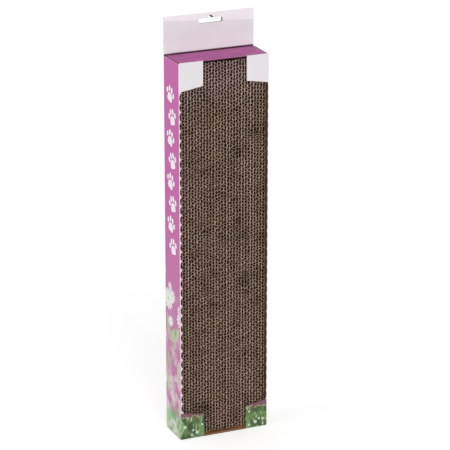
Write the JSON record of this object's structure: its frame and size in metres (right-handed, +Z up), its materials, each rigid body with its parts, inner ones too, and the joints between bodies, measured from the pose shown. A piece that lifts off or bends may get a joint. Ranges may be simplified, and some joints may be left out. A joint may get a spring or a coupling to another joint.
{
  "type": "cardboard cat scratcher",
  "caption": "Upright corrugated cardboard scratching pad in an open-fronted printed carton with a tuck lid and a slotted hang tab.",
  "frame": {"origin": "middle of the carton's underside", "axes": "+Z up along the carton's height, +Y towards the back panel and the hang tab, +X to the right as seen from the open front"},
  "size_m": [0.12, 0.048, 0.542],
  "materials": {
    "printed_board": "satin printed micro-flute board, purple",
    "pale_board": "satin printed micro-flute board, pale lilac",
    "foliage_board": "satin printed micro-flute board, green foliage",
    "kraft_board": "plain brown kraft",
    "corrugated_strip": "grey-brown recycled corrugated board, cut edge",
    "sachet_film": "plain matt pouch paper"
  },
  "bodies": {
    "carton": {"back_panel": "printed_board", "hang_tab_rear": "pale_board", "hang_tab_front": "pale_board", "left_side_panel": "printed_board", "right_side_panel": "printed_board", "seam_flap": "kraft_board", "top_left_corner_flap": "pale_board", "top_right_corner_flap": "pale_board", "bottom_left_corner_flap": "foliage_board", "bottom_right_corner_flap": "foliage_board", "left_edge_strip": "pale_board", "right_edge_strip": "pale_board", "bottom_panel": "foliage_board", "bottom_inner_panel": "kraft_board", "bottom_left_dust_flap": "kraft_board", "bottom_right_dust_flap": "kraft_board", "catnip_sachet": "sachet_film"},
    "pad": {"pad_strip_01": "corrugated_strip", "pad_strip_02": "corrugated_strip", "pad_strip_03": "corrugated_strip", "pad_strip_04": "corrugated_strip", "pad_strip_05": "corrugated_strip", "pad_strip_06": "corrugated_strip", "pad_strip_07": "corrugated_strip", "pad_strip_08": "corrugated_strip", "pad_strip_09": "corrugated_strip", "pad_strip_10": "corrugated_strip", "pad_strip_11": "corrugated_strip", "pad_strip_12": "corrugated_strip", "pad_strip_13": "corrugated_strip", "pad_strip_14": "corrugated_strip", "pad_strip_15": "corrugated_strip", "pad_strip_16": "corrugated_strip", "pad_strip_17": "corrugated_strip", "pad_strip_18": "corrugated_strip", "pad_strip_19": "corrugated_strip", "pad_strip_20": "corrugated_strip", "pad_strip_21": "corrugated_strip", "pad_strip_22": "corrugated_strip", "pad_strip_23": "corrugated_strip", "pad_strip_24": "corrugated_strip", "pad_strip_25": "corrugated_strip", "pad_strip_26": "corrugated_strip", "pad_strip_27": "corrugated_strip", "pad_strip_28": "corrugated_strip", "pad_strip_29": "corrugated_strip"},
    "lid": {"lid_panel": "printed_board"},
    "tuck_flap": {"lid_tuck_flap": "printed_board"},
    "left_dust": {"left_dust_flap": "kraft_board"},
    "right_dust": {"right_dust_flap": "kraft_board"}
  },
  "joints": [
    {"name": "lid_open", "type": "hinge", "parent": "carton", "child": "lid", "pos_m": [0, -0.024, 0.495], "axis": [1, 0, 0], "range_deg": [0, 120]},
    {"name": "tuck_fold", "type": "hinge", "parent": "lid", "child": "tuck_flap", "pos_m": [0, 0.0204, 0.494], "axis": [-1, 0, 0], "range_deg": [0, 60]},
    {"name": "left_dust_open", "type": "hinge", "parent": "carton", "child": "left_dust", "pos_m": [-0.06, 0, 0.494], "axis": [0, -1, 0], "range_deg": [0, 108]},
    {"name": "right_dust_open", "type": "hinge", "parent": "carton", "child": "right_dust", "pos_m": [0.06, 0, 0.494], "axis": [0, 1, 0], "range_deg": [0, 108]},
    {"name": "pad_lift", "type": "slide", "parent": "carton", "child": "pad", "axis": [0, 0, 1], "range_m": [0, 0.002]}
  ],
  "couplings": [
    {"joint": "tuck_fold", "follows": "lid_open", "ratio": 0.5},
    {"joint": "left_dust_open", "follows": "lid_open", "ratio": 0.9},
    {"joint": "right_dust_open", "follows": "lid_open", "ratio": 0.9}
  ]
}
